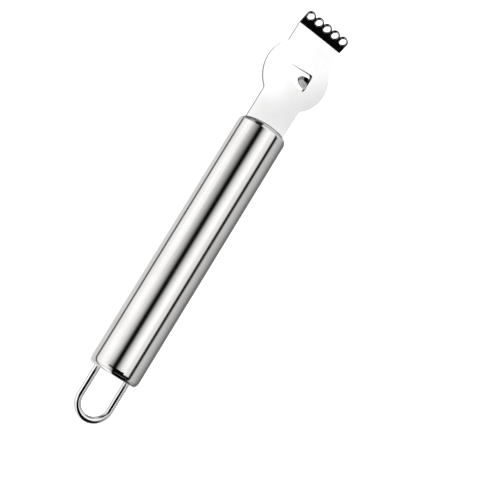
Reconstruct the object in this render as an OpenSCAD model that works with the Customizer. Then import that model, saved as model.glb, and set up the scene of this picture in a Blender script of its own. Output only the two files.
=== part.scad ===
// Citrus zester in stainless steel. A flat stamped blade carries a round disc with a pressed
// channel knife and a bent lip with a row of ringed zesting holes. It is seated in a hollow round
// handle with two end caps and a wire hanging loop. Sizes are in millimetres.
// The part lies on its handle: X runs from the loop to the tip of the blade, Z is up, and the
// origin is under the middle of the whole part. The blade and the loop lie level.

/* [Handle] */
// Length of the handle over both end caps
handle_l = 106.6; // [80:0.5:140]
// Outside diameter of the handle
handle_d = 20; // [19.5:0.5:26]
// Wall of the handle tube
tube_wall = 0.8; // [0.6:0.1:1]
// Radius of the front shoulder
shoulder_r = 2.7; // [2.2:0.1:3.5]
// Length of the rounded rim at the rear end
rim_l = 2.7; // [2:0.1:4]
// How far the rounded rim at the rear end draws in
rim_drop = 1.3; // [0.8:0.1:1.8]

/* [End caps] */
// Thickness of the front cap outside the tube
front_cap_t = 1.5; // [1.2:0.1:2]
// Thickness of the rear cap outside the tube
rear_cap_t = 1.2; // [0.8:0.1:1.8]
// Depth of the plug on each cap inside the tube
plug_l = 3; // [2:0.5:6]
// Radial gap between a plug and the tube
plug_gap = 0.04; // [0.02:0.01:0.1]

/* [Blade] */
// Thickness of the blade sheet
sheet_t = 1.2; // [0.9:0.1:1.6]
// Width of the shank
shank_w = 16.8; // [14:0.1:18]
// Distance from the handle to the middle of the disc
disc_x = 23.6; // [18:0.1:32]
// Diameter of the disc
disc_d = 27.2; // [23:0.1:34]
// Width of the neck and of the zesting lip
neck_w = 19.9; // [19:0.1:22]
// Distance from the middle of the disc to the fold of the lip
fold_x = 17.3; // [16:0.1:24]
// Radius of the fillets where the disc meets the shank and the neck
waist_r = 2; // [1:0.1:3]
// Width of the tang inside the handle
tang_w = 12; // [8:0.5:13]
// Length of the tang inside the front cap and the tube
tang_l = 22; // [12:0.5:40]
// Gap between the blade and the slot in the front cap
slot_gap = 0.05; // [0.03:0.01:0.1]

/* [Zesting lip] */
// Angle of the lip above the blade
lip_angle = 35; // [20:1:60]
// Inside radius of the fold
fold_r = 0.5; // [0.3:0.1:1]
// Distance from the fold to the row of holes, along the lip
hole_row = 3.9; // [3:0.05:7]
// Number of zesting holes
hole_n = 5; // [3:1:5]
// Diameter of a zesting hole
hole_d = 2.8; // [2.2:0.1:3]
// Outside diameter of the ring around a hole
ring_d = 3.9; // [3.5:0.05:3.95]
// Height of the ring above the lip
ring_h = 0.3; // [0.2:0.1:0.8]
// Width of the sharpened top of the ring
ring_edge = 0.25; // [0.1:0.05:0.3]
// How far the web between two rings rises past the middle of the holes
web_rise = 0.6; // [0.3:0.1:1.2]

/* [Channel knife] */
// Distance from the middle of the disc to the cut at the mouth
knife_mouth = 5.75; // [5:0.05:8]
// Distance from the middle of the disc to the closed end
knife_tail = 6.2; // [4:0.1:8]
// Width of the pressed tongue at the mouth
knife_w = 7.8; // [7:0.1:9]
// Width of the pressed tongue at its closed end
knife_tail_w = 5.2; // [4:0.1:6.5]
// Depth of the tongue below the blade at the mouth
knife_drop = 1; // [0.6:0.1:1.4]
// Inside radius of the gouge
gouge_r = 2.3; // [1.8:0.1:2.8]
// Length of the gouge on the tongue
gouge_l = 4.6; // [3.5:0.1:6]
// Radius of the tongue's corners at the mouth
knife_corner_r = 1; // [0.6:0.1:1.6]
// Wall of the pressed knife
knife_wall = 0.8; // [0.6:0.1:1]

/* [Hanging loop] */
// Diameter of the wire
wire_d = 2.6; // [2:0.1:3]
// Distance from the side of the handle to the middle of a leg
leg_inset = 3.65; // [3.3:0.05:5]
// How far the loop reaches beyond the handle
loop_l = 19.1; // [14:0.1:34]
// Length of the legs behind the rear cap, inside the tube
leg_end = 5; // [2:0.5:12]
// Radial gap between a leg and its hole in the rear cap
leg_gap = 0.03; // [0.02:0.01:0.1]

/* [Welds] */
// Leg of the weld beads inside the handle
bead = 0.8; // [0.5:0.1:1]

/* [Hidden] */
$fn = 96;

handle_r = handle_d / 2;
tube_r = handle_r - tube_wall;
plug_r = tube_r - plug_gap;
wire_r = wire_d / 2;
// Distance between the middles of the two legs
loop_w = handle_d - 2 * leg_inset;
hole_r = hole_d / 2;
ring_r = ring_d / 2;
disc_r = disc_d / 2;
hole_pitch = (neck_w - ring_d) / (hole_n - 1);
// Steps on each rounded end of the handle
round_n = 10;
// How far the lip's plate lies inside the faces of the fold, and how far it reaches into the fold,
// so that the two join cleanly
inset = 0.005;
lap = 0.1;
// Steps on each round stretch of the tongue's outline
arc_n = 12;
// A length that runs past every face it cuts
past = 1;

// The fold turns about a line above the sheet, and the lip leaves it along its own slope
fold_mid_r = fold_r + sheet_t / 2;
// How far the lower corner of a ring reaches beyond the fold
lip_reach = (hole_row + ring_r) * cos(lip_angle) + (fold_mid_r + sheet_t / 2) * sin(lip_angle);

// Places along X
part_l = loop_l + handle_l + disc_x + fold_x + lip_reach;
rear_x = loop_l - part_l / 2;
front_x = rear_x + handle_l;
disc_cx = front_x + disc_x;
axis_z = handle_r;
rear_seam = rear_x + rear_cap_t;
front_seam = front_x - front_cap_t;

// Radius of the handle at a distance from an end that is rounded over length l and depth d
function round_at(from_end, l, d) =
    from_end >= l ? handle_r : handle_r - d * (1 - sqrt(1 - pow(1 - from_end / l, 2)));

// Points of the outer profile from one distance to another, as [x, radius]
function end_profile(from, to, l, d) =
    [for (i = [0:round_n]) let (s = from + (to - from) * i / round_n) [s, round_at(s, l, d)]];

// The handle's own axis: lays a shape turned about Z along X at the axis height
module on_axis(x = 0) {
    translate([x, 0, axis_z]) rotate([0, 90, 0]) children();
}

// A profile of [x, radius] points turned about the handle's axis
module turned(points) {
    on_axis() rotate_extrude() polygon([for (p = points) [p[1], p[0]]]);
}

// The blade's frame: X from the middle of the disc, Z from the middle of the sheet
module on_blade() {
    translate([disc_cx, 0, axis_z]) children();
}

// Drawn tube, its ends drawn in a little where the caps close it
module handle_tube() {
    rear = end_profile(rear_cap_t, max(rim_l, rear_cap_t + 0.1), rim_l, rim_drop);
    front = end_profile(front_cap_t, max(shoulder_r, front_cap_t + 0.1), shoulder_r, shoulder_r);
    color("silver")
    turned(concat(
        [[rear_seam, tube_r]],
        [for (p = rear) [rear_x + p[0], p[1]]],
        [for (i = [round_n:-1:0]) [front_x - front[i][0], front[i][1]]],
        [[front_seam, tube_r]]
    ));
}

// Domed front cap: its plug sits in the tube, and the blade's shoulders seat in its stepped slot
module front_cap() {
    nose = end_profile(0, front_cap_t, shoulder_r, shoulder_r);
    slot_h = sheet_t + 2 * slot_gap;
    color("gainsboro")
    difference() {
        turned(concat(
            [[front_seam - plug_l, 0], [front_seam - plug_l, plug_r], [front_seam, plug_r]],
            [for (i = [round_n:-1:0]) [front_x - nose[i][0], nose[i][1]]],
            [[front_x, 0]]
        ));
        translate([front_seam, -shank_w / 2 - slot_gap, axis_z - slot_h / 2])
            cube([front_cap_t + past, shank_w + 2 * slot_gap, slot_h]);
        translate([front_seam - plug_l - past, -tang_w / 2 - slot_gap, axis_z - slot_h / 2])
            cube([plug_l + 2 * past, tang_w + 2 * slot_gap, slot_h]);
    }
}

// Flat rear cap with a rounded rim and two holes for the legs of the loop
module rear_cap() {
    rim = end_profile(0, rear_cap_t, rim_l, rim_drop);
    color("gainsboro")
    difference() {
        turned(concat(
            [[rear_x, 0]],
            [for (p = rim) [rear_x + p[0], p[1]]],
            [[rear_seam, plug_r], [rear_seam + plug_l, plug_r], [rear_seam + plug_l, 0]]
        ));
        for (side = [-1, 1])
            translate([0, side * loop_w / 2, 0]) on_axis(rear_x - past)
                cylinder(h = rear_cap_t + plug_l + 2 * past, r = wire_r + leg_gap);
    }
}

// Straight stretch of sheet of a given width between two places along X
module strip(from, to, width) {
    translate([from, -width / 2]) square([to - from, width]);
}

// Fillets between the disc and a strip of a given width that leaves it along dir
module waist_fillets(width, dir) {
    across = width / 2 + waist_r;
    along = sqrt(pow(disc_r + waist_r, 2) - pow(across, 2));
    touch = disc_r / (disc_r + waist_r);
    for (side = [-1, 1]) scale([dir, side]) difference() {
        polygon([
            [along * touch, 0], [along, 0], [along, width / 2], [along, across],
            [along * touch, across * touch]
        ]);
        translate([along, across]) circle(waist_r);
    }
}

// Flat outline of the tang, shank, disc and neck, from the middle of the disc
module blade_outline() {
    shoulder = -disc_x - front_cap_t;
    waist = disc_r / 2;
    circle(disc_r);
    strip(shoulder, -waist, shank_w);
    strip(waist, fold_x, neck_w);
    waist_fillets(shank_w, -1);
    waist_fillets(neck_w, 1);
    strip(shoulder - tang_l + tang_w / 2, shoulder + past, tang_w);
    translate([shoulder - tang_l + tang_w / 2, 0]) circle(d = tang_w);
}

// Places of the zesting holes across the lip
function hole_at(i) = (i - (hole_n - 1) / 2) * hole_pitch;

// Lays a shape on the sloping lip: X runs up the lip from the end of the fold, Z is its upper face
module on_lip() {
    translate([fold_x, 0, fold_mid_r]) rotate([0, -lip_angle, 0])
        translate([0, 0, -fold_mid_r]) children();
}

// Bent lip with a scalloped end, a raised sharpened ring round each hole, and the holes
module lip() {
    difference() {
        union() {
            // The fold, a part of a ring about a line across the blade
            translate([fold_x, 0, fold_mid_r]) rotate([90, 0, 0]) rotate(-90)
                rotate_extrude(angle = lip_angle)
                    translate([fold_r, -neck_w / 2]) square([sheet_t, neck_w]);
            on_lip() {
                translate([0, 0, inset - sheet_t / 2]) linear_extrude(sheet_t - 2 * inset) {
                    strip(-lap, hole_row, neck_w - 2 * inset);
                    strip(-lap, hole_row + web_rise, neck_w - ring_d);
                    for (i = [0:hole_n - 1]) translate([hole_row, hole_at(i)]) circle(ring_r);
                }
                for (i = [0:hole_n - 1]) translate([hole_row, hole_at(i), 0])
                    cylinder(h = sheet_t / 2 + ring_h, r1 = ring_r, r2 = hole_r + ring_edge);
            }
        }
        on_lip() for (i = [0:hole_n - 1])
            translate([hole_row, hole_at(i), -sheet_t]) cylinder(h = 3 * sheet_t, r = hole_r);
    }
}

// Points of an arc about a centre, from one angle to another
function arc_points(centre, r, from, to) =
    [for (i = [0:arc_n]) let (a = from + (to - from) * i / arc_n) centre + r * [cos(a), sin(a)]];

// Tapered outline of the pressed tongue, round at its closed end and with round corners at its
// mouth, grown by a wall
module tongue_outline(grow = 0) {
    tail_r = knife_tail_w / 2;
    tail_y = knife_tail - tail_r;
    half_w = knife_w / 2;
    run = knife_mouth + tail_y;
    // The straight sides leave the round closed end at this angle
    lean = atan2(half_w, run) - asin(tail_r / norm([half_w, run]));
    // The round corners touch the straight sides and the mouth
    corner_y = knife_corner_r - knife_mouth;
    corner_x = (tail_r - knife_corner_r + (tail_y - corner_y) * sin(lean)) / cos(lean);
    polygon(concat(
        arc_points([0, tail_y], tail_r + grow, lean, 180 - lean),
        arc_points([-corner_x, corner_y], knife_corner_r + grow, 180 - lean, 270),
        arc_points([corner_x, corner_y], knife_corner_r + grow, -90, lean)
    ));
}

// Everything above the tongue's sloping face, lowered by a depth
module above_tongue(depth = 0) {
    top = sheet_t / 2;
    span = knife_w + 4 * past;
    tail = knife_tail + 2 * past;
    slope = knife_drop / (knife_mouth + knife_tail);
    translate([-span / 2, 0, 0]) rotate([90, 0, 90]) linear_extrude(span) polygon([
        [-knife_mouth, top - knife_drop - depth], [tail, top + slope * 2 * past - depth],
        [tail, top + past], [-knife_mouth, top + past]
    ]);
}

// Round bar that sinks towards the mouth. Its lowest line leaves the tongue's face where the gouge
// begins, and its middle meets the face at the mouth.
module gouge(r) {
    lean = atan2(knife_drop, knife_mouth + knife_tail);
    sink = lean + asin(gouge_r * cos(lean) / gouge_l);
    reach = knife_mouth + knife_tail + 4 * gouge_r;
    intersection() {
        translate([0, -knife_mouth, sheet_t / 2 - knife_drop]) rotate([90 + sink, 0, 0])
            cylinder(h = 2 * reach, r = r, center = true);
        translate([-knife_w, -knife_mouth, -reach])
            cube([2 * knife_w, knife_mouth + knife_tail, reach + sheet_t]);
    }
}

// One stamped sheet: tang, shank, disc with the pressed channel knife, neck and bent lip
module blade() {
    color("whitesmoke")
    on_blade() difference() {
        union() {
            translate([0, 0, -sheet_t / 2]) linear_extrude(sheet_t) blade_outline();
            lip();
            intersection() {
                translate([0, 0, -sheet_t - knife_drop]) linear_extrude(1.5 * sheet_t + knife_drop)
                    tongue_outline(knife_wall);
                above_tongue(knife_wall);
                translate([-knife_w, -knife_mouth, -4 * sheet_t])
                    cube([2 * knife_w, knife_mouth + 2 * knife_tail, 4.5 * sheet_t]);
            }
            intersection() {
                gouge(gouge_r + knife_wall);
                translate([-knife_w, -knife_mouth, -3 * knife_w])
                    cube([2 * knife_w, knife_mouth + knife_tail, 3 * knife_w]);
            }
        }
        intersection() {
            translate([0, 0, -2 * sheet_t - knife_drop]) linear_extrude(4 * sheet_t + knife_drop)
                tongue_outline();
            above_tongue();
        }
        gouge(gouge_r);
    }
}

// Bent wire: two legs through the rear cap and a half-round end
module hanging_loop() {
    bend_r = loop_w / 2;
    bend_x = rear_x - loop_l + wire_r + bend_r;
    leg_l = rear_seam + plug_l + leg_end - bend_x;
    color("silver")
    union() {
        translate([bend_x, 0, axis_z]) rotate(90) rotate_extrude(angle = 180)
            translate([bend_r, 0]) circle(wire_r);
        for (side = [-1, 1])
            translate([0, side * bend_r, 0]) on_axis(bend_x) cylinder(h = leg_l, r = wire_r);
    }
}

// Hollow quarter round, the section of every weld bead, with its corner at the origin
module bead_section() {
    difference() {
        square(bead);
        translate([bead, bead]) circle(bead);
    }
}

// Two beads that hold the tang to the inner face of the front cap, over and under the sheet
module blade_weld() {
    color("dimgray")
    for (side = [0, 1]) translate([front_seam - plug_l, 0, axis_z]) mirror([0, 0, side])
        translate([0, -tang_w / 2, sheet_t / 2]) rotate([90, 0, 180]) linear_extrude(tang_w)
            bead_section();
}

// A bead round each leg of the loop on the inner face of the rear cap
module loop_weld() {
    color("dimgray")
    for (side = [-1, 1]) translate([0, side * loop_w / 2, 0]) on_axis(rear_seam + plug_l)
        rotate_extrude() translate([wire_r, 0]) bead_section();
}

handle_tube();
front_cap();
rear_cap();
blade();
hanging_loop();
blade_weld();
loop_weld();
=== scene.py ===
"""Studio scene of a stainless steel citrus zester, dressed over its solid model.

The solids give the frame: +X runs from the hanging loop to the tip of the blade, +Z is up and the
handle lies on the floor. The pieces are made in millimetres and turned into metres at the end. The
finishes and the studio are in metres, and every angle that a field holds is in degrees.
"""

from __future__ import annotations

import logging
import math
from dataclasses import dataclass, field
from enum import Enum
from typing import Any, Callable, Iterable, Sequence

import bmesh
import bpy
from mathutils import Matrix, Vector


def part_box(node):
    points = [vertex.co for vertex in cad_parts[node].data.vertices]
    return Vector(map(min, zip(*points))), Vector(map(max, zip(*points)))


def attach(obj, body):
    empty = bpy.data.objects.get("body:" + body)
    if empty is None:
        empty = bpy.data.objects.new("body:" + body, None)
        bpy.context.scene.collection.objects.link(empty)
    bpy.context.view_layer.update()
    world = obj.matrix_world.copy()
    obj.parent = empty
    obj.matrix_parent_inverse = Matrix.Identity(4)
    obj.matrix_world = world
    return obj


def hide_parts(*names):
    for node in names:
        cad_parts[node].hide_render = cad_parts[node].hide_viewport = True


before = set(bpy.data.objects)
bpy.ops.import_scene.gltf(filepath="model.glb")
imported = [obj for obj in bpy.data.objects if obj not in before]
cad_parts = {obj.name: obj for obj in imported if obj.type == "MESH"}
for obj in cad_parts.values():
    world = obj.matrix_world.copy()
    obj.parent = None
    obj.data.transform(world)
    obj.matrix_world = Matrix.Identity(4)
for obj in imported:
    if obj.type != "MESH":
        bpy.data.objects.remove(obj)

LOG = logging.getLogger("zester")
MM = 0.001
BODY = "root"
CRISP_ANGLE = 32.0
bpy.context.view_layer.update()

Span = tuple[float, float]
Point2 = tuple[float, float]
Point3 = tuple[float, float, float]
Colour = tuple[float, float, float, float]
Socket = bpy.types.NodeSocket


def grey(value: float, warmth: float = 0.0) -> Colour:
    """A grey of that brightness, turned a little towards a warm tint."""
    return (value * (1 + warmth), value, value * (1 - warmth), 1.0)


def placed(name: str, data: bpy.types.ID) -> bpy.types.Object:
    """A new object of the scene."""
    thing = bpy.data.objects.new(name, data)
    bpy.context.scene.collection.objects.link(thing)
    return thing


# Shader graph


class Value:
    """A number socket that grows its graph through ordinary arithmetic."""

    def __init__(self, graph: Graph, socket: Socket) -> None:
        """Keeps the graph that the socket belongs to."""
        self.graph = graph
        self.socket = socket

    def math(self, operation: str, *operands: Value | float) -> Value:
        """Adds one Math node, with its operands in order."""
        node = self.graph.node("ShaderNodeMath", {"operation": operation}, dict(enumerate(operands)))
        return Value(self.graph, node.outputs[0])

    def __add__(self, other: Value | float) -> Value:
        """self + other."""
        return self.math("ADD", self, other)

    def __radd__(self, other: float) -> Value:
        """other + self."""
        return self.math("ADD", other, self)

    def __sub__(self, other: Value | float) -> Value:
        """self - other."""
        return self.math("SUBTRACT", self, other)

    def __rsub__(self, other: float) -> Value:
        """other - self."""
        return self.math("SUBTRACT", other, self)

    def __mul__(self, other: Value | float) -> Value:
        """self * other."""
        return self.math("MULTIPLY", self, other)

    def __rmul__(self, other: float) -> Value:
        """other * self."""
        return self.math("MULTIPLY", other, self)

    def __truediv__(self, other: Value | float) -> Value:
        """self / other."""
        return self.math("DIVIDE", self, other)

    def __rtruediv__(self, other: float) -> Value:
        """other / self."""
        return self.math("DIVIDE", other, self)

    def __abs__(self) -> Value:
        """The size of self."""
        return self.math("ABSOLUTE", self)

    def root(self) -> Value:
        """The square root of self."""
        return self.math("SQRT", self)

    def angle(self, other: Value) -> Value:
        """The angle of the point (other, self), in radians."""
        return self.math("ARCTAN2", self, other)

    def ramp(self, low: float, high: float) -> Value:
        """A soft step that is 0 at low and 1 at high, where low may be the larger."""
        settings = {"interpolation_type": "SMOOTHSTEP"}
        sockets = {"Value": self, "From Min": low, "From Max": high}
        return Value(self.graph, self.graph.node("ShaderNodeMapRange", settings, sockets).outputs[0])


@dataclass
class Graph:
    """The node tree of one material or world."""

    tree: bpy.types.NodeTree

    @staticmethod
    def emptied(owner: bpy.types.Material | bpy.types.World) -> Graph:
        """The graph of a material or a world, with no nodes in it."""
        owner.use_nodes = True
        owner.node_tree.nodes.clear()
        return Graph(owner.node_tree)

    def node(
        self,
        kind: str,
        settings: dict[str, Any] | None = None,
        sockets: dict[str | int, Any] | None = None,
    ) -> bpy.types.Node:
        """Adds a node of any kind.

        Args:
            kind: the node's type.
            settings: its properties, and a ramp's stops as (place, colour) pairs in rising order.
            sockets: values or links of its inputs, by name or number.

        Returns:
            The new node.
        """
        node = self.tree.nodes.new(kind)
        for name, value in (settings or {}).items():
            if name != "stops":
                setattr(node, name, value)
                continue
            for place, _ in value[1:-1]:
                node.color_ramp.elements.new(place)
            for element, (place, colour) in zip(node.color_ramp.elements, value):
                element.position, element.color = place, colour
        for key, value in (sockets or {}).items():
            socket = node.inputs[key]
            if isinstance(value, Value):
                self.tree.links.new(value.socket, socket)
            elif isinstance(value, Socket):
                self.tree.links.new(value, socket)
            else:
                socket.default_value = value
        return node

    def split(self, vector: Socket) -> tuple[Value, ...]:
        """The three numbers of a vector."""
        node = self.node("ShaderNodeSeparateXYZ", sockets={0: vector})
        return tuple(Value(self, output) for output in node.outputs)

    def place(self) -> tuple[Value, ...]:
        """The point on the object, in metres, as three numbers."""
        return self.split(self.node("ShaderNodeTexCoord").outputs["Object"])

    def mixed(self, factor: Value | float, first: Any, second: Any) -> Socket:
        """The first colour with the second laid over it, as far as the factor says."""
        # The node has several inputs of one name, so its colours go by number
        node = self.node("ShaderNodeMix", {"data_type": "RGBA"}, {0: factor, 6: first, 7: second})
        return node.outputs[2]

    def surface(self, kind: str, sockets: dict[str, Any]) -> None:
        """Ends a material in one shader."""
        shader = self.node(kind, sockets=sockets)
        self.node("ShaderNodeOutputMaterial", sockets={"Surface": shader.outputs[0]})


@dataclass(frozen=True)
class Grain:
    """A noise texture: its scale along each axis, and how fine and rough it is."""

    scale: Point3
    detail: float = 3.0
    rough: float = 0.55

    def at(self, graph: Graph, *place: Value | float) -> Value:
        """Its brightness at the three numbers of a place, from 0 to 1."""
        stretched = [number * scale for number, scale in zip(place, self.scale)]
        vector = graph.node("ShaderNodeCombineXYZ", sockets=dict(enumerate(stretched))).outputs[0]
        sockets = {"Vector": vector, "Scale": 1.0, "Detail": self.detail, "Roughness": self.rough}
        return Value(graph, graph.node("ShaderNodeTexNoise", sockets=sockets).outputs["Fac"])


# Finishes, each shaded by its colour, roughness and height


Shading = tuple[Socket, Value, Value]


@dataclass(frozen=True)
class Finish:
    """A metal finish: its colour and polish, the marks worked into it, and its soft clouding."""

    name: str
    colour: Colour
    roughness: float
    marks: Grain
    clouds: Grain
    cloud_colour: Colour
    cloud_shows: Span = (0.35, 0.7)
    spread: float = 0.03
    relief: float = 0.05
    relief_depth: float = 0.00001

    def build(self) -> bpy.types.Material:
        """Makes the material.

        Returns:
            The material, ready for a piece.
        """
        material = bpy.data.materials.new(self.name)
        graph = Graph.emptied(material)
        colour, roughness, height = self.shade(graph)
        bump = {"Height": height, "Strength": self.relief, "Distance": self.relief_depth}
        sockets = {
            "Base Color": colour,
            "Roughness": roughness,
            "Metallic": 1.0,
            "Normal": graph.node("ShaderNodeBump", sockets=bump).outputs[0],
        }
        graph.surface("ShaderNodeBsdfPrincipled", sockets)
        return material

    def shade(self, graph: Graph) -> Shading:
        """The colour, roughness and height of this finish: at its plainest, one grain of marks.

        Args:
            graph: the material's graph.

        Returns:
            The three sockets.
        """
        place = graph.place()
        marks = self.marks.at(graph, *place)
        tint = self.clouded(graph, self.clouds.at(graph, *place))
        return tint, self.roughness + self.varied(marks), marks

    def clouded(self, graph: Graph, cloud: Value) -> Socket:
        """The finish's colour with its clouds."""
        return graph.mixed(cloud.ramp(*self.cloud_shows), self.colour, self.cloud_colour)

    def varied(self, grain: Value) -> Value:
        """How far a grain shifts the roughness."""
        return (grain - 0.5) * self.spread


@dataclass(frozen=True)
class SatinSteel(Finish):
    """Tube brushed along its length, with faint handling marks."""

    name: str = "satin_steel"
    colour: Colour = grey(0.80, 0.008)
    roughness: float = 0.10
    marks: Grain = Grain((55.0, 5200.0, 1.0), 4.0, 0.6)
    clouds: Grain = Grain((75.0, 75.0, 75.0))
    cloud_colour: Colour = grey(0.744, 0.02)
    spread: float = 0.05
    relief: float = 0.10
    axis_height: float = 0.010
    broad: Grain = Grain((14.0, 900.0, 1.0), 2.0)
    broad_slice: float = 0.3
    fine_height: float = 0.7
    line_colour: Colour = grey(0.55, 0.02)
    line_shows: Span = (0.18, 0.5)
    line_share: float = 0.35

    def shade(self, graph: Graph) -> Shading:
        """Brush lines along X that run round the tube's own axis."""
        x, y, z = graph.place()
        turn = y.angle(z - self.axis_height) * self.axis_height
        lines = self.marks.at(graph, x, turn, 0.0)
        broad = self.broad.at(graph, x, turn, self.broad_slice)
        cloud = self.clouds.at(graph, x, y, z)
        tint = self.clouded(graph, cloud)
        brushed = (lines * broad).ramp(*self.line_shows) * self.line_share
        shade = graph.mixed(brushed, tint, self.line_colour)
        roughness = self.roughness + self.varied(lines) + self.varied(cloud)
        return shade, roughness, lines * self.fine_height + broad * (1 - self.fine_height)


@dataclass(frozen=True)
class TurnedSteel(Finish):
    """Spun cap, with fine rings round its axis and, from one place on, painted shade: a dark line where
    the blade's root sits in the slot.
    """

    name: str = "cap_steel"
    colour: Colour = grey(0.80, 0.006)
    roughness: float = 0.09
    marks: Grain = Grain((6000.0, 3000.0, 1.0))
    clouds: Grain = Grain((130.0, 130.0, 130.0))
    cloud_colour: Colour = grey(0.752, 0.01)
    cloud_shows: Span = (0.3, 0.7)
    spread: float = 0.04
    axis_height: float = 0.010
    painted_shade_from: float = 1.0
    painted_shade_edge: float = 0.00035
    painted_shade_least: float = 0.85
    painted_shade_colour: Colour = grey(0.14, 0.03)

    def shade(self, graph: Graph) -> Shading:
        """Turning marks that follow the distance from the axis."""
        x, y, z = graph.place()
        off = z - self.axis_height
        rings = self.marks.at(graph, (y * y + off * off).root(), x, 0.0)
        cloud = self.clouds.at(graph, x, y, z)
        # Painted shade: from the given place along X on, the colour darkens towards a dark grey, patchy
        # with the clouds, where the blade's root meets the cap
        painted_shade = x.ramp(self.painted_shade_from, self.painted_shade_from + self.painted_shade_edge)
        painted_shade = painted_shade * (self.painted_shade_least + cloud * (1 - self.painted_shade_least))
        tint = graph.mixed(painted_shade, self.clouded(graph, cloud), self.painted_shade_colour)
        return tint, self.roughness + self.varied(rings), rings


@dataclass(frozen=True)
class SheetSteel(Finish):
    """Stamped and polished sheet: bright faces, and steep faces darkened, partly by their sheared finish
    and partly as painted shade.
    """

    name: str = "blade_steel"
    colour: Colour = grey(0.84, 0.002)
    roughness: float = 0.06
    marks: Grain = Grain((90.0, 3600.0, 3600.0))
    clouds: Grain = Grain((110.0, 110.0, 110.0), 4.0)
    cloud_colour: Colour = grey(0.798, 0.005)
    cloud_shows: Span = (0.35, 0.75)
    torn: Grain = Grain((2500.0, 2500.0, 700.0))
    torn_shows: Span = (0.3, 0.7)
    torn_height: float = 2.0
    wall_from: Span = (0.79, 0.40)
    sheared_and_shaded_colours: tuple[Colour, Colour] = (grey(0.2), grey(0.3))
    wall_roughness: float = 0.22

    def shade(self, graph: Graph) -> Shading:
        """Long polishing lines on the faces, and a torn grain on the steep faces, which are also darkened
        as painted shade.
        """
        x, y, z = graph.place()
        *_, upright = graph.split(graph.node("ShaderNodeNewGeometry").outputs["Normal"])
        # Painted shade: the steeper a face, the darker it is, over the sheared walls, the rounded edges
        # and the pressed gouge
        wall = abs(upright).ramp(*self.wall_from)
        lines = self.marks.at(graph, x, y, z)
        torn = self.torn.at(graph, x, y, z)
        face_colour = self.clouded(graph, self.clouds.at(graph, x, y, z))
        sheared_and_shaded_colour = graph.mixed(torn.ramp(*self.torn_shows), *self.sheared_and_shaded_colours)
        roughness = self.roughness + self.varied(lines) + wall * self.wall_roughness
        height = lines * (1.0 - wall) + torn * wall * self.torn_height
        return graph.mixed(wall, face_colour, sheared_and_shaded_colour), roughness, height


@dataclass(frozen=True)
class DrawnWire(Finish):
    """Bright drawn wire, with faint die lines that run with the legs."""

    name: str = "wire_steel"
    colour: Colour = grey(0.84)
    roughness: float = 0.05
    marks: Grain = Grain((120.0, 4200.0, 4200.0), 2.0)
    clouds: Grain = Grain((160.0, 160.0, 160.0))
    cloud_colour: Colour = grey(0.7896)


@dataclass(frozen=True)
class WeldMetal(Finish):
    """Weld bead: dull, with ripples and a brown heat tint in clouds."""

    name: str = "weld_metal"
    colour: Colour = grey(0.42, 0.02)
    roughness: float = 0.5
    marks: Grain = Grain((1500.0, 1500.0, 1500.0), 2.0)
    clouds: Grain = Grain((420.0, 420.0, 420.0))
    cloud_colour: Colour = (0.3, 0.26, 0.24, 1.0)
    cloud_shows: Span = (0.3, 0.7)
    spread: float = 0.2
    relief: float = 0.4
    relief_depth: float = 0.0001


@dataclass(frozen=True)
class PaleFloor:
    """Matt pale sweep that the tool lies on, with a very faint paper grain."""

    name: str = "pale_floor"
    colour: Colour = grey(0.9)
    roughness: float = 0.9
    glow: float = 0.9
    fibres: Grain = Grain((900.0, 900.0, 900.0), 2.0)
    fibre_colour: Colour = grey(0.8)
    fibre_shows: Span = (0.3, 0.7)
    fibre_share: float = 0.02

    def build(self) -> bpy.types.Material:
        """Makes the material.

        Returns:
            The material, ready for the floor.
        """
        material = bpy.data.materials.new(self.name)
        graph = Graph.emptied(material)
        fibres = self.fibres.at(graph, *graph.place()).ramp(*self.fibre_shows) * self.fibre_share
        sockets = {
            "Base Color": graph.mixed(fibres, self.colour, self.fibre_colour),
            "Roughness": self.roughness,
            "Specular IOR Level": 0.0,
            "Emission Color": grey(1.0),
            "Emission Strength": self.glow,
        }
        graph.surface("ShaderNodeBsdfPrincipled", sockets)
        return material


# Solid shapes, in millimetres


class Join(Enum):
    """How one shape is combined with another."""

    UNION = "UNION"
    CUT = "DIFFERENCE"
    COMMON = "INTERSECT"


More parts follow.
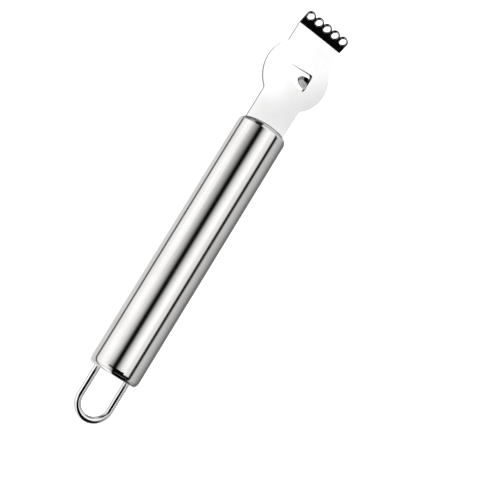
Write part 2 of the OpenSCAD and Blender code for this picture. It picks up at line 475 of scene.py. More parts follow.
@dataclass
class Shape:
    """A closed mesh in millimetres."""

    mesh: bpy.types.Mesh

    @staticmethod
    def from_faces(points: Iterable[Point3], faces: Iterable[Sequence[int]]) -> Shape:
        """A shape from its points and faces, with its faces turned outwards."""
        mesh = bpy.data.meshes.new("shape")
        mesh.from_pydata(list(points), [], list(faces))
        return Shape(mesh).edit(lambda bm: bmesh.ops.recalc_face_normals(bm, faces=bm.faces[:]))

    @staticmethod
    def between(low: Sequence[Point3], high: Sequence[Point3]) -> Shape:
        """A shape between two outlines with the same number of corners."""
        count = len(low)
        walls = [(i, (i + 1) % count, count + (i + 1) % count, count + i) for i in range(count)]
        ends = [tuple(range(count)), tuple(range(count, 2 * count))]
        return Shape.from_faces([*low, *high], [*ends, *walls])

    @staticmethod
    def prism(outline: Sequence[Point2], low: float, high: float) -> Shape:
        """An outline pulled up along Z, from one height to another."""
        return Shape.between([(x, y, low) for x, y in outline], [(x, y, high) for x, y in outline])

    @staticmethod
    def box(low: Point3, high: Point3) -> Shape:
        """A box from its lowest to its highest corner."""
        outline = [(low[0], low[1]), (high[0], low[1]), (high[0], high[1]), (low[0], high[1])]
        return Shape.prism(outline, low[2], high[2])

    @staticmethod
    def cone(low: float, high: float, radius_low: float, radius_high: float, steps: int = 72) -> Shape:
        """A cone's lower part along Z, or a cylinder where its radii are the same."""
        rings = [
            [(*on_circle(0, 0, radius, 360 * i / steps), height) for i in range(steps)]
            for height, radius in ((low, radius_low), (high, radius_high))
        ]
        return Shape.between(*rings)

    @staticmethod
    def turned(profile: Sequence[Point2], segments: int = 192) -> Shape:
        """A closed profile of (x, radius) turned about the X axis.

        Args:
            profile: its corners in order. A radius of 0 makes one point on the axis.
            segments: how many steps go round.

        Returns:
            The turned shape.
        """
        points: list[Point3] = []
        rings: list[list[int]] = []
        for x, radius in profile:
            steps = segments if radius > 0 else 1
            rings.append(list(range(len(points), len(points) + steps)))
            for step in range(steps):
                angle = 2 * math.pi * step / segments
                points.append((x, radius * math.sin(angle), radius * math.cos(angle)))
        faces: list[tuple[int, ...]] = []
        for first, second in zip(rings, rings[1:] + rings[:1]):
            for i in range(segments):
                j = (i + 1) % segments
                corners = [first[i % len(first)], first[j % len(first)]]
                corners += [second[j % len(second)], second[i % len(second)]]
                face = tuple(dict.fromkeys(corners))
                if len(face) > 2:
                    faces.append(face)
        return Shape.from_faces(points, faces)

    @staticmethod
    def swept(path: Sequence[tuple[Vector, Vector]], radius: float, sides: int = 40) -> Shape:
        """A round bar along a flat path.

        Args:
            path: (place, side direction) pairs, with the side direction in the path's plane.
            radius: the bar's radius.
            sides: how many steps go round.

        Returns:
            The bar, with flat ends.
        """
        points: list[Point3] = []
        for place, side in path:
            for step in range(sides):
                angle = 2 * math.pi * step / sides
                offset = side * math.cos(angle) + Vector((0, 0, 1)) * math.sin(angle)
                points.append(tuple(place + offset * radius))
        faces: list[tuple[int, ...]] = []
        for low in range(0, (len(path) - 1) * sides, sides):
            high = low + sides
            for i in range(sides):
                j = (i + 1) % sides
                faces.append((low + i, low + j, high + j, high + i))
        last = len(points) - sides
        faces += [tuple(range(sides)), tuple(range(last, last + sides))]
        return Shape.from_faces(points, faces)

    def edit(self, work: Callable[[bmesh.types.BMesh], Any]) -> Shape:
        """Runs mesh work on the shape and keeps the result."""
        bm = bmesh.new()
        bm.from_mesh(self.mesh)
        work(bm)
        bm.to_mesh(self.mesh)
        bm.free()
        return self

    def moved(self, matrix: Matrix) -> Shape:
        """The same shape, moved in place."""
        self.mesh.transform(matrix)
        return self

    def with_modifier(self, kind: str, settings: dict[str, Any]) -> Shape:
        """Applies one modifier to the shape.

        Args:
            kind: the modifier's type.
            settings: its properties.

        Returns:
            The shape after the modifier.
        """
        thing = placed("work", self.mesh)
        modifier = thing.modifiers.new("work", kind)
        for name, value in settings.items():
            setattr(modifier, name, value)
        graph = bpy.context.evaluated_depsgraph_get()
        self.mesh = bpy.data.meshes.new_from_object(thing.evaluated_get(graph), depsgraph=graph)
        bpy.data.objects.remove(thing)
        return self

    def combined(self, other: Shape, how: Join) -> Shape:
        """Combines the shape with another, which is used up."""
        tool = placed("tool", other.mesh)
        self.with_modifier("BOOLEAN", {"object": tool, "operation": how.value, "solver": "EXACT"})
        bpy.data.objects.remove(tool)
        return self

    def cleaned(self, merge: float = 0.0005, flat: float = 0.4) -> Shape:
        """Merges doubled points and flat neighbours, so that a later bevel runs clean.

        Args:
            merge: how far apart doubled points may lie.
            flat: the angle in degrees under which neighbours are flat.

        Returns:
            The shape after the mesh work.
        """

        def work(bm: bmesh.types.BMesh) -> None:
            """The mesh work."""
            bmesh.ops.remove_doubles(bm, verts=bm.verts[:], dist=merge)
            limit = math.radians(flat)
            bmesh.ops.dissolve_limit(bm, angle_limit=limit, verts=bm.verts[:], edges=bm.edges[:])

        return self.edit(work)

    def softened(self, width: float, angle: float = 30.0) -> Shape:
        """Rounds the edges that are sharper than an angle a little, as deburring does."""
        settings = {
            "width": width,
            "segments": 2,
            "limit_method": "ANGLE",
            "angle_limit": math.radians(angle),
            "use_clamp_overlap": True,
            "miter_outer": "MITER_SHARP",
        }
        return self.with_modifier("BEVEL", settings)

    def shaded(self, flat_over: float) -> Shape:
        """Smooths the shading, apart from crisp edges and from faces larger than an area."""
        self.mesh.set_sharp_from_angle(angle=math.radians(CRISP_ANGLE))
        faces = self.mesh.polygons
        faces.foreach_set("use_smooth", [face.area < flat_over for face in faces])
        return self


def on_circle(x: float, y: float, radius: float, degrees: float) -> Point2:
    """The point of a circle at an angle from +X."""
    angle = math.radians(degrees)
    return (x + radius * math.cos(angle), y + radius * math.sin(angle))


def arc(centre: Point2, radius: float, start: float, end: float, steps: int) -> list[Point2]:
    """Points of an arc, both ends included.

    Args:
        centre: the middle of its circle.
        radius: its radius.
        start: the angle of its first point.
        end: the angle of its last point.
        steps: how many steps it has.

    Returns:
        The points in order.
    """
    return [on_circle(*centre, radius, start + (end - start) * i / steps) for i in range(steps + 1)]


# Pieces


@dataclass
class Layout:
    """The sizes that the pieces share, and the places along X that follow from them."""

    handle_l: float = 106.6
    handle_r: float = 10.0
    tube_r: float = 9.2
    plug_r: float = 9.16
    plug_l: float = 3.0
    shoulder_r: float = 2.7
    rim_l: float = 2.7
    rim_drop: float = 1.3
    front_cap_t: float = 1.5
    rear_cap_t: float = 1.2
    sheet_t: float = 1.2
    slot_gap: float = 0.05
    shank_w: float = 16.8
    tang_w: float = 12.0
    wire_r: float = 1.3
    loop_w: float = 12.7
    loop_l: float = 19.1
    disc_x: float = 23.6
    seam_depth: float = 0.1
    seam_w: float = 0.12
    # How far back from the front face the painted shade at the blade's root starts
    painted_shade_w: float = 0.85
    round_steps: int = 24
    cut_spare: float = 1.0
    rear_x: float = field(init=False)

    def __post_init__(self) -> None:
        """Reads where the loop ends from the solids."""
        self.rear_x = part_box("hanging_loop")[0][0] / MM + self.loop_l

    @property
    def front_x(self) -> float:
        """The front face of the handle."""
        return self.rear_x + self.handle_l

    @property
    def rear_seam(self) -> float:
        """Where the tube meets the rear cap."""
        return self.rear_x + self.rear_cap_t

    @property
    def front_seam(self) -> float:
        """Where the tube meets the front cap."""
        return self.front_x - self.front_cap_t

    @property
    def axis(self) -> Matrix:
        """Lifts a shape that was made about X to the handle's axis."""
        return Matrix.Translation((0, 0, self.handle_r))

    def rounded(self, start: float, end: float, length: float, depth: float) -> list[Point2]:
        """The handle's outline from one distance to another behind a rounded end.

        Args:
            start: the first distance from the end.
            end: the last distance from the end.
            length: how long the rounding is.
            depth: how much it takes off the radius.

        Returns:
            (distance, radius) pairs, which lie closer where it turns faster.
        """
        turn = [math.acos(max(-1.0, min(1.0, 1 - s / length))) for s in (start, min(end, length))]
        points = []
        for i in range(self.round_steps + 1):
            angle = turn[0] + (turn[1] - turn[0]) * i / self.round_steps
            points.append((length * (1 - math.cos(angle)), self.handle_r - depth * (1 - math.sin(angle))))
        return points

    def rear_round(self, start: float, end: float) -> list[Point2]:
        """The rear rim between two distances from the rear face, as (x, radius)."""
        return [(self.rear_x + s, r) for s, r in self.rounded(start, end, self.rim_l, self.rim_drop)]

    def front_round(self, start: float, end: float) -> list[Point2]:
        """The front shoulder between two distances from the front face, as (x, radius) that rise in x."""
        nose = self.rounded(start, end, self.shoulder_r, self.shoulder_r)
        return [(self.front_x - s, r) for s, r in reversed(nose)]


@dataclass
class Piece:
    """A visible piece of the tool and the solid that it stands for."""

    name: str
    node: str
    slot: str
    finish: Finish
    layout: Layout

    def shape(self) -> Shape:
        """The piece's mesh in millimetres, in the frame of the solids."""
        raise NotImplementedError

    @property
    def flat_over(self) -> float:
        """The area above which a face is flat."""
        return math.inf

    def build(self) -> bpy.types.Object:
        """Makes the piece, dresses it and hangs it on the body.

        Returns:
            The finished object.
        """
        mesh = self.shape().shaded(self.flat_over).moved(Matrix.Scale(MM, 4)).mesh
        mesh.name = self.name
        mesh.materials.clear()
        mesh.materials.append(self.finish.build())
        piece = placed(self.name, mesh)
        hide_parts(self.node)
        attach(piece, BODY)
        return piece


@dataclass
class HandleTube(Piece):
    """Thin tube, drawn in at both ends, with a fine groove where each cap meets it."""

    def shape(self) -> Shape:
        """The tube's wall turned about its axis."""
        lay = self.layout
        rear = lay.rear_round(lay.rear_cap_t + lay.seam_w / 2, lay.rim_l)
        front = lay.front_round(lay.front_cap_t + lay.seam_w / 2, lay.shoulder_r)
        profile = [(lay.rear_seam, lay.tube_r), (lay.rear_seam, rear[0][1] - lay.seam_depth), *rear]
        profile += [*front, (lay.front_seam, front[-1][1] - lay.seam_depth), (lay.front_seam, lay.tube_r)]
        return Shape.turned(profile).moved(lay.axis)


@dataclass
class FrontCap(Piece):
    """Domed cap with a plug inside the tube and a stepped slot for the blade."""

    def shape(self) -> Shape:
        """The cap with its slot cut through it."""
        lay = self.layout
        nose = lay.front_round(0.0, lay.front_cap_t - lay.seam_w / 2)
        inner = lay.front_seam - lay.plug_l
        profile = [(inner, 0.0), (inner, lay.plug_r), (lay.front_seam, lay.plug_r)]
        profile += [(lay.front_seam, nose[0][1] - lay.seam_depth), *nose, (lay.front_x, 0.0)]
        half = lay.sheet_t / 2 + lay.slot_gap
        shank = lay.shank_w / 2 + lay.slot_gap
        tang = lay.tang_w / 2 + lay.slot_gap
        ahead = lay.front_x + lay.cut_spare
        cap = Shape.turned(profile)
        cap.combined(Shape.box((lay.front_seam, -shank, -half), (ahead, shank, half)), Join.CUT)
        behind = inner - lay.cut_spare
        cap.combined(Shape.box((behind, -tang, -half), (lay.front_x, tang, half)), Join.CUT)
        return cap.moved(lay.axis)


@dataclass
class RearCap(Piece):
    """Flat cap with a rounded rim and two holes for the legs of the loop."""

    leg_gap: float = 0.03

    def shape(self) -> Shape:
        """The cap with its two holes."""
        lay = self.layout
        rim = lay.rear_round(0.0, lay.rear_cap_t - lay.seam_w / 2)
        inner = lay.rear_seam + lay.plug_l
        profile = [(lay.rear_x, 0.0), *rim, (lay.rear_seam, rim[-1][1] - lay.seam_depth)]
        profile += [(lay.rear_seam, lay.plug_r), (inner, lay.plug_r), (inner, 0.0)]
        cap = Shape.turned(profile)
        radius = lay.wire_r + self.leg_gap
        lengthwise = Matrix.Rotation(math.pi / 2, 4, "Y")
        for side in (-1, 1):
            hole = Shape.cone(lay.rear_x - lay.cut_spare, inner + lay.cut_spare, radius, radius)
            hole.moved(Matrix.Translation((0, side * lay.loop_w / 2, 0)) @ lengthwise)
            cap.combined(hole, Join.CUT)
        return cap.moved(lay.axis)


@dataclass
class HangingLoop(Piece):
    """Bent wire with two legs that go through the rear cap."""

    leg_end: float = 5.0
    bend_steps: int = 64
    end_edge: float = 0.15
    end_angle: float = 60.0

    def shape(self) -> Shape:
        """The wire swept along its path."""
        lay = self.layout
        bend = lay.loop_w / 2
        bend_x = lay.rear_x - lay.loop_l + lay.wire_r + bend
        leg_x = lay.rear_seam + lay.plug_l + self.leg_end
        stops = [leg_x, lay.rear_x, (lay.rear_x + bend_x) / 2]
        path = [(Vector((x, bend, 0)), Vector((0, 1, 0))) for x in stops]
        for across_x, across_y in arc((0, 0), 1, 90, 270, self.bend_steps):
            across = Vector((across_x, across_y, 0))
            path.append((Vector((bend_x, 0, 0)) + across * bend, across))
        path += [(Vector((x, -bend, 0)), Vector((0, -1, 0))) for x in reversed(stops)]
        return Shape.swept(path, lay.wire_r).softened(self.end_edge, self.end_angle).moved(lay.axis)


@dataclass
class Blade(Piece):
    """One stamped sheet: tang, shank, disc with the pressed knife, neck, and bent lip with its rings."""

    tang_l: float = 22.0
    disc_r: float = 13.6
    neck_w: float = 19.9
    fold_x: float = 17.3
    waist_r: float = 2.0
    lip_angle: float = 35.0
    fold_r: float = 0.5
    hole_row: float = 3.9
    hole_n: int = 5
    hole_r: float = 1.4
    ring_r: float = 1.95
    ring_h: float = 0.3
    ring_edge: float = 0.25
    web_rise: float = 0.6
    knife_mouth: float = 5.75
    knife_tail: float = 6.2
    knife_w: float = 7.8
    knife_tail_w: float = 5.2
    knife_drop: float = 1.0
    knife_wall: float = 0.8
    knife_corner_r: float = 1.0
    knife_spare: float = 2.0
    gouge_r: float = 2.3
    gouge_l: float = 4.6
    rim_reach: float = 1.0
    rim_overlap: float = 0.02
    edge_w: float = 0.14
    largest_curved: float = 3.0
    tang_steps: int = 20
    corner_steps: int = 12
    disc_steps: int = 90
    ring_steps: int = 40
    fold_steps: int = 10
    gouge_steps: int = 96

    @property
    def flat_over(self) -> float:
        """The area above which a face is flat: only the folds, rings and bars are round."""
        return self.largest_curved

    @property
    def fold_mid_r(self) -> float:
        """The radius of the fold at the middle of the sheet."""
        return self.fold_r + self.layout.sheet_t / 2

    @property
    def fold_l(self) -> float:
        """The length of the fold along the middle of the sheet."""
        return self.fold_mid_r * math.radians(self.lip_angle)

    @property
    def knife_l(self) -> float:
        """The length of the pressed knife."""
        return self.knife_mouth + self.knife_tail

    def holes(self) -> list[float]:
        """The places of the zesting holes across the lip."""
        pitch = (self.neck_w - 2 * self.ring_r) / (self.hole_n - 1)
        return [(i - (self.hole_n - 1) / 2) * pitch for i in range(self.hole_n)]

    def waist(self, width: float) -> tuple[float, float, float]:
        """The middle of the arc that joins a width to the disc, as along and across, and its angle."""
        across = width / 2 + self.waist_r
        along = math.sqrt((self.disc_r + self.waist_r) ** 2 - across**2)
        return along, across, math.degrees(math.atan2(across, along))

    def side_line(self) -> list[Point2]:
        """The blade's outline on its +Y side, from the tang's end to the row of holes."""
        lay = self.layout
        shoulder = -lay.disc_x - lay.front_cap_t
        tang_r = lay.tang_w / 2
        points = arc((shoulder - self.tang_l + tang_r, 0), tang_r, 180, 90, self.tang_steps)
        points += [(shoulder, tang_r), (shoulder, lay.shank_w / 2)]
        rear_x, rear_y, rear = self.waist(lay.shank_w)
        front_x, front_y, front = self.waist(self.neck_w)
        points += arc((-rear_x, rear_y), self.waist_r, -90, -rear, self.corner_steps)
        points += arc((0, 0), self.disc_r, 180 - rear, front, self.disc_steps)[1:-1]
        return points + arc((front_x, front_y), self.waist_r, 180 + front, 270, self.corner_steps)

    def pattern(self) -> list[Point2]:
        """The whole outline of the sheet before the lip is bent."""
        side = self.side_line()
        row = self.fold_x + self.fold_l + self.hole_row
        web = math.degrees(math.acos(self.web_rise / self.ring_r))
        tip: list[Point2] = []
        places = list(reversed(self.holes()))
        for i, y in enumerate(places):
            first = 90.0 if i == 0 else web
            last = -90.0 if i == len(places) - 1 else -web
            tip += arc((row, y), self.ring_r, first, last, self.ring_steps)
        mirror = [(x, -y) for x, y in reversed(side)]
        return side + tip + mirror[:-1]

    def bent(self, point: Vector) -> Vector:
        """Where a point of the flat sheet goes when the lip is bent up."""
        ahead = point.x - self.fold_x
        if ahead <= 0:
            return point
        angle = min(ahead / self.fold_mid_r, math.radians(self.lip_angle))
        rest = max(0.0, ahead - self.fold_l)
        reach = self.fold_mid_r - point.z
        x = self.fold_x + reach * math.sin(angle) + rest * math.cos(angle)
        z = self.fold_mid_r - reach * math.cos(angle) + rest * math.sin(angle)
        return Vector((x, point.y, z))

    def sheet(self) -> Shape:
        """The stamped sheet with its lip bent."""
        half = self.layout.sheet_t / 2

        def work(bm: bmesh.types.BMesh) -> None:
            """Cuts loops over the fold, and bends it."""
            for i in range(self.fold_steps + 1):
                where = self.fold_x + self.fold_l * i / self.fold_steps
                geometry = bm.verts[:] + bm.edges[:] + bm.faces[:]
                bmesh.ops.bisect_plane(bm, geom=geometry, plane_co=(where, 0, 0), plane_no=(1, 0, 0))
            for vertex in bm.verts:
                vertex.co = self.bent(vertex.co)

        return Shape.prism(self.pattern(), -half, half).edit(work)

    def on_lip(self) -> Matrix:
        """The lip's frame: X up the lip from the end of the fold, Z out of its upper face."""
        up = Matrix.Translation((self.fold_x, 0, self.fold_mid_r))
        down = Matrix.Translation((0, 0, -self.fold_mid_r))
        return up @ Matrix.Rotation(-math.radians(self.lip_angle), 4, "Y") @ down

    def add_rings(self, blade: Shape) -> None:
        """Puts a raised ring round each place on the lip, and then cuts its hole."""
        sheet_t = self.layout.sheet_t
        places = [self.on_lip() @ Matrix.Translation((self.hole_row, y, 0)) for y in self.holes()]
        for place in places:
            ring = Shape.cone(0.0, sheet_t / 2 + self.ring_h, self.ring_r, self.hole_r + self.ring_edge)
            blade.combined(ring.moved(place), Join.UNION)
        for place in places:
            hole = Shape.cone(-sheet_t, 2 * sheet_t, self.hole_r, self.hole_r)
            blade.combined(hole.moved(place), Join.CUT)

    def tongue_outline(self, grow: float = 0.0) -> list[Point2]:
        """The pressed tongue's outline: round at its closed end, with round corners at its mouth."""
        tail_r = self.knife_tail_w / 2
        tail_y = self.knife_tail - tail_r
        half, run = self.knife_w / 2, self.knife_mouth + tail_y
        lean = math.atan2(half, run) - math.asin(tail_r / math.hypot(half, run))
        corner = self.knife_corner_r
        corner_y = corner - self.knife_mouth
        corner_x = (tail_r - corner + (tail_y - corner_y) * math.sin(lean)) / math.cos(lean)
        side = math.degrees(lean)
        points = arc((0, tail_y), tail_r + grow, side, 180 - side, self.ring_steps)
        points += arc((-corner_x, corner_y), corner + grow, 180 - side, 270, self.corner_steps)
        return points + arc((corner_x, corner_y), corner + grow, -90, side, self.corner_steps)

    def over_tongue(self, depth: float = 0.0) -> Shape:
        """The space over the tongue's sloping face, or over a face that lies deeper."""
        top = self.layout.sheet_t / 2
        above = top + self.layout.cut_spare
        tail = self.knife_tail + self.knife_spare
        rise = self.knife_drop / self.knife_l * self.knife_spare
        section = [
            (-self.knife_mouth, top - self.knife_drop - depth),
            (tail, top + rise - depth),
            (tail, above),
            (-self.knife_mouth, above),
        ]
        wide = self.knife_w / 2 + self.knife_spare
        turn = Matrix(((0, 0, 1, 0), (1, 0, 0, 0), (0, 1, 0, 0), (0, 0, 0, 1)))
        return Shape.prism(section, -wide, wide).moved(turn)

    def block(self, start: float, end: float, top: float) -> Shape:
        """All that lies under a height, between two places across the blade, round the knife."""
        wide, deep = self.knife_w, 3 * self.knife_w
        return Shape.box((-wide, start, -deep), (wide, end, top))

    def gouge(self, radius: float, reach_out: float = 0.0) -> Shape:
        """The round bar that sinks towards the mouth.

        Args:
            radius: the bar's radius.
            reach_out: how far it goes beyond the mouth.

        Returns:
            The bar.
        """
        lean = math.atan2(self.knife_drop, self.knife_l)
        sink = lean + math.asin(self.gouge_r * math.cos(lean) / self.gouge_l)
        reach = self.knife_l + 4 * self.gouge_r
        sheet_t = self.layout.sheet_t
        place = Matrix.Translation((0, -self.knife_mouth, sheet_t / 2 - self.knife_drop))
        bar = Shape.cone(-reach, reach, radius, radius, self.gouge_steps)
        bar.moved(place @ Matrix.Rotation(math.pi / 2 + sink, 4, "X"))
        keep = self.block(-self.knife_mouth - reach_out, self.knife_tail, sheet_t)
        return bar.combined(keep, Join.COMMON)

    def press_knife(self, blade: Shape) -> None:
        """Presses the tongue and its gouge into the sheet, with walls of their own below it."""
        mouth, tail, sheet_t = -self.knife_mouth, self.knife_tail, self.layout.sheet_t
        under = Shape.prism(self.tongue_outline(self.knife_wall), -sheet_t - self.knife_drop, sheet_t / 2)
        under.combined(self.over_tongue(self.knife_wall), Join.COMMON)
        under.combined(self.block(mouth, 2 * tail, sheet_t / 2), Join.COMMON)
        blade.combined(under, Join.UNION)
        channel = self.gouge(self.gouge_r + self.knife_wall)
        blade.combined(channel.combined(self.block(mouth, tail, 0.0), Join.COMMON), Join.UNION)
        tongue = Shape.prism(self.tongue_outline(), -2 * sheet_t - self.knife_drop, 2 * sheet_t)
        blade.combined(tongue.combined(self.over_tongue(), Join.COMMON), Join.CUT)
        blade.combined(self.gouge(self.gouge_r), Join.CUT)

    def carry_rim(self, blade: Shape) -> None:
        """Carries the channel's rim a little past the mouth, under the sheet."""
        mouth, bottom, spare = -self.knife_mouth, -self.layout.sheet_t / 2, self.layout.cut_spare
        rim = mouth - self.rim_reach
        channel = self.gouge(self.gouge_r + self.knife_wall, self.rim_reach)
        under = self.block(rim, mouth, bottom + self.rim_overlap)
        blade.combined(channel.combined(under, Join.COMMON), Join.UNION)
        channel = self.gouge(self.gouge_r, self.rim_reach + spare)
        under = self.block(rim - spare, mouth + self.rim_overlap, bottom)
        blade.combined(channel.combined(under, Join.COMMON), Join.CUT)

    def shape(self) -> Shape:
        """The whole blade."""
        blade = self.sheet()
        self.add_rings(blade)
        self.press_knife(blade)
        self.carry_rim(blade)
        blade.cleaned().softened(self.edge_w)
        middle = (self.layout.front_x + self.layout.disc_x, 0, self.layout.handle_r)
        return blade.moved(Matrix.Translation(middle))


# Studio


@dataclass(frozen=True)
class Flag:
    """A shaded or lit part of the tent: its edge along the tool, its two sides, and its strength.

    Each edge is a pair, of where the flag starts to show and where it is full.
    """

    along: Span
    first: Span
    last: Span
    strength: float = 1.0

    def mask(self, along: Value, first: Value, last: Value) -> Value:
        """How much of the flag a direction meets, by its number along the tool and those of the sides."""
        return along.ramp(*self.along) * first.ramp(*self.first) * last.ramp(*self.last) * self.strength


@dataclass
class Tent:
    """The white tent round the table, painted by direction, with its panels and dark cards.

    Each panel is an edge of the long lights: an angle round the handle's axis, and a brightness there.
    """

    peak: float = 1.3
    panels: tuple[Span, ...] = (
        (-180.0, 1.00), (-147.0, 0.62), (-137.0, 0.33), (-126.0, 0.15), (-116.0, 0.20),
        (-90.0, 0.52), (-66.0, 0.72), (-61.5, 0.50), (-57.0, 0.003), (-48.5, 0.0),
        (-44.0, 0.80), (-41.0, 0.96), (-34.0, 0.92), (-20.0, 1.28), (-8.0, 1.25),
        (8.0, 0.68), (19.0, 0.03), (22.0, 0.0), (30.0, 0.005), (34.0, 0.13),
        (40.0, 0.45), (50.0, 0.82), (68.0, 1.25), (88.0, 1.25), (108.0, 1.08),
        (116.0, 1.00), (121.5, 0.15), (125.0, 0.02), (128.5, 0.18), (134.0, 0.86),
        (155.0, 0.75), (180.0, 1.00),
    )
    lean: float = 12.5
    lean_rate: float = 0.11
    side_shade: Flag = Flag((0.02, 0.24), (20.0, 34.0), (85.0, 45.0), 0.42)
    overhead: Flag = Flag((0.238, 0.262), (-50.0, -30.0), (-0.062, -0.096), 0.25)
    overhead_lean: float = 0.8
    tongue_light: Flag = Flag((0.24, 0.28), (-42.0, -36.0), (-20.0, -24.0))
    end_from: Span = (0.38, 0.56)
    end_light: float = 0.72
    end_side: Span = (0.2, 0.6)
    end_side_light: float = -0.30
    end_top: Span = (0.45, 0.85)
    end_top_light: float = 0.35
    leaning_card: Flag = Flag((0.27, 0.45), (0.03, 0.15), (0.70, 0.46), 0.985)
    leans: Span = (0.466, 0.6)
    low_from: Span = (0.50, 0.70)
    low_under: Span = (-0.15, -0.35)
    low_shade: float = 0.7
    behind: Flag = Flag((-0.11, -0.24), (-62.0, -56.0), (34.0, 26.0), 0.998)
    far_behind: Flag = Flag((-0.50, -0.62), (-110.0, -98.0), (-50.0, -60.0), 0.95)

    def build(self) -> None:
        """Makes the tent and sets it as the scene's world."""
        world = bpy.data.worlds.new("studio")
        bpy.context.scene.world = world
        graph = Graph.emptied(world)
        x, y, z = graph.split(graph.node("ShaderNodeTexCoord").outputs["Generated"])
        turn = y.angle(z) * (180 / math.pi)
        # The walls stand close, so the bands lean a little along the tool
        across = turn - x * (turn * self.lean_rate + self.lean)
        stops = [(angle / 360 + 0.5, grey(brightness / self.peak)) for angle, brightness in self.panels]
        bands = graph.node("ShaderNodeValToRGB", {"stops": stops}, {0: across / 360 + 0.5})
        wall = Value(graph, bands.outputs[0]) * self.peak
        wall = wall * (1.0 - self.side_shade.mask(x, turn, across))
        # A soft grey patch overhead, which the shank and the right of the disc reflect
        wall = wall * (1.0 - self.overhead.mask(x, turn, y + x * self.overhead_lean))
        # The bright panel that the pressed tongue reflects
        bright = self.tongue_light.mask(x, turn, turn)
        wall = wall * (1.0 - bright) + bright * self.peak
        # The wall beyond the blade: light on one side, with a dark card that leans across it
        steep, slant = (y - z * lean for lean in self.leans)
        beyond = x.ramp(*self.end_from)
        end = self.end_light + slant.ramp(*self.end_side) * self.end_side_light
        end = end + z.ramp(*self.end_top) * self.end_top_light
        leaning = self.leaning_card.mask(x, steep, slant)
        low = x.ramp(*self.low_from) * z.ramp(*self.low_under) * self.low_shade
        wall = (wall * (1.0 - beyond) + beyond * end) * (1.0 - leaning) * (1.0 - low)
        # The dark cards behind the tool, which the lip and its rings reflect
        for flag in (self.behind, self.far_behind):
            wall = wall * (1.0 - flag.mask(x, turn, turn))
        # The picture's own background stays white
        seen = Value(graph, graph.node("ShaderNodeLightPath").outputs["Is Camera Ray"])
        sockets = {"Color": grey(1.0), "Strength": wall * (1.0 - seen) + seen}
        light = graph.node("ShaderNodeBackground", sockets=sockets)
        graph.node("ShaderNodeOutputWorld", sockets={0: light.outputs[0]})


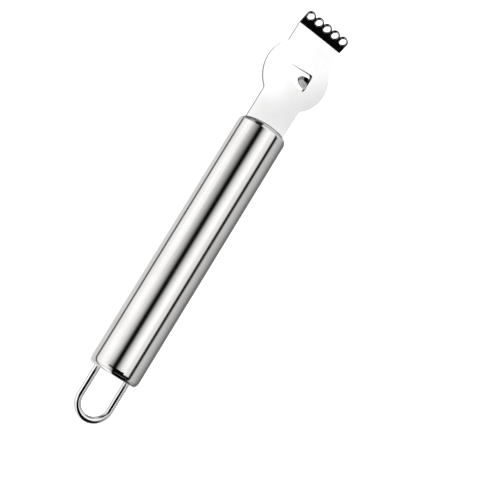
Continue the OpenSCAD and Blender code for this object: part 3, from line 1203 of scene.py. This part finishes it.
@dataclass
class Studio:
    """The tent, two black cards near the tool, a floor, a lamp and a camera.

    The high card is an arch, which is shorter towards the +Y side.
    """

    arch_r: float = 0.25
    arch_gap: float = 0.0003
    arch_l: float = 0.075
    arch_from: float = -20.0
    arch_to: float = 50.0
    arch_steps: int = 8
    taper_from: int = 4
    taper: float = 0.012
    low_card_ahead: float = 0.010
    low_card_beside: float = 0.001
    low_card_l: float = 0.0125
    low_card_h: float = 0.009
    floor_half: float = 1.5
    lamp_at: Point3 = (0.0, 0.1, 1.0)
    lamp_lean: float = -0.1
    lamp_size: float = 1.2
    lamp_power: float = 2.0
    camera_at: Point3 = (-0.06785359, 0.13158399, 0.40551493)
    camera_right: Point3 = (0.5116144, -0.76965903, 0.38193676)
    camera_down: Point3 = (-0.84510862, -0.53098299, 0.06203615)
    camera_ahead: Point3 = (0.15505524, -0.35451664, -0.92210402)
    camera_near: float = 0.01
    lens: float = 82.8
    sensor: float = 36.0

    def card(self, name: str, rows: Sequence[tuple[Point3, Point3]]) -> None:
        """Hangs a black card that only reflections see.

        Args:
            name: the card's name.
            rows: pairs of points, from one end of the card to the other.
        """
        mesh = bpy.data.meshes.new(name)
        faces = [(2 * i, 2 * i + 1, 2 * i + 3, 2 * i + 2) for i in range(len(rows) - 1)]
        mesh.from_pydata([point for row in rows for point in row], [], faces)
        material = bpy.data.materials.new(name)
        Graph.emptied(material).surface("ShaderNodeEmission", {"Color": grey(0.0), "Strength": 0.0})
        mesh.materials.append(material)
        card = placed(name, mesh)
        card.visible_camera = False
        card.visible_diffuse = False
        card.visible_shadow = False
        card.visible_transmission = False

    def cards(self) -> None:
        """Hangs an arched card high over the loop, and stands a small one low beside the knife's mouth."""
        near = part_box("rear_cap")[0][0] - self.arch_gap
        rows = []
        arch = arc((0, 0), self.arch_r, self.arch_from, self.arch_to, self.arch_steps)
        for i, (z, y) in enumerate(arch):
            far = near - self.arch_l + self.taper * max(0, i - self.taper_from)
            rows.append(((near, y, z), (far, y, z)))
        self.card("high_card", rows)
        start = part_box("front_cap")[1][0] + self.low_card_ahead
        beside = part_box("blade")[0][1] - self.low_card_beside
        end = start + self.low_card_l
        self.card("low_card", [((start, beside, z), (end, beside, z)) for z in (0.0, self.low_card_h)])

    def floor(self) -> None:
        """Lays the floor that the handle lies on."""
        half = self.floor_half
        mesh = bpy.data.meshes.new("floor")
        corners = [(-half, -half, 0), (half, -half, 0), (half, half, 0), (-half, half, 0)]
        mesh.from_pydata(corners, [], [(0, 1, 2, 3)])
        mesh.materials.append(PaleFloor().build())
        floor = placed("floor", mesh)
        floor.visible_glossy = False

    def lamp(self) -> None:
        """Hangs one large soft lamp over the table."""
        data = bpy.data.lights.new("soft_overhead", "AREA")
        data.shape = "RECTANGLE"
        data.size = data.size_y = self.lamp_size
        data.energy = self.lamp_power
        lamp = placed("soft_overhead", data)
        lamp.location = self.lamp_at
        lamp.rotation_euler = (self.lamp_lean, 0.0, 0.0)
        lamp.visible_glossy = False

    def camera(self) -> None:
        """Sets the camera where the photograph was taken from."""
        data = bpy.data.cameras.new("camera")
        data.lens = self.lens
        data.sensor_width = self.sensor
        data.clip_start = self.camera_near
        camera = placed("camera", data)
        right, down, ahead = (Vector(v) for v in (self.camera_right, self.camera_down, self.camera_ahead))
        turn = Matrix((right, -down, -ahead)).transposed().to_4x4()
        camera.matrix_world = Matrix.Translation(self.camera_at) @ turn
        bpy.context.scene.camera = camera

    def build(self) -> None:
        """Sets up the studio."""
        Tent().build()
        self.floor()
        self.cards()
        self.lamp()
        self.camera()
        view = bpy.context.scene.view_settings
        view.view_transform = "Standard"
        view.look = "None"


def dress_welds() -> None:
    """Gives the hidden weld beads their finish."""
    weld = WeldMetal().build()
    for node in ("blade_weld", "loop_weld"):
        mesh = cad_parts[node].data
        mesh.materials.clear()
        mesh.materials.append(weld)
        LOG.info("%s: dressed", node)


def main() -> None:
    """Builds the studio and every piece."""
    logging.basicConfig(level=logging.INFO, format="%(name)s: %(message)s")
    Studio().build()
    layout = Layout()
    # Where the front cap's painted shade at the blade's root starts, in metres
    painted_shade_from = (layout.front_x - layout.painted_shade_w) * MM
    slotted_cap_steel = TurnedSteel(name="slotted_cap_steel", painted_shade_from=painted_shade_from)
    pieces: list[Piece] = [
        HandleTube("handle_shell", "handle_tube", "satin_steel", SatinSteel(), layout),
        FrontCap("front_end", "front_cap", "cap_steel", slotted_cap_steel, layout),
        RearCap("rear_end", "rear_cap", "cap_steel", TurnedSteel(), layout),
        HangingLoop("wire_loop", "hanging_loop", "wire_steel", DrawnWire(), layout),
        Blade("zester_blade", "blade", "blade_steel", SheetSteel(), layout),
    ]
    for piece in pieces:
        made = piece.build()
        LOG.info("%s: %d faces", made.name, len(made.data.polygons))
    dress_welds()


if __name__ == "__main__":
    main()
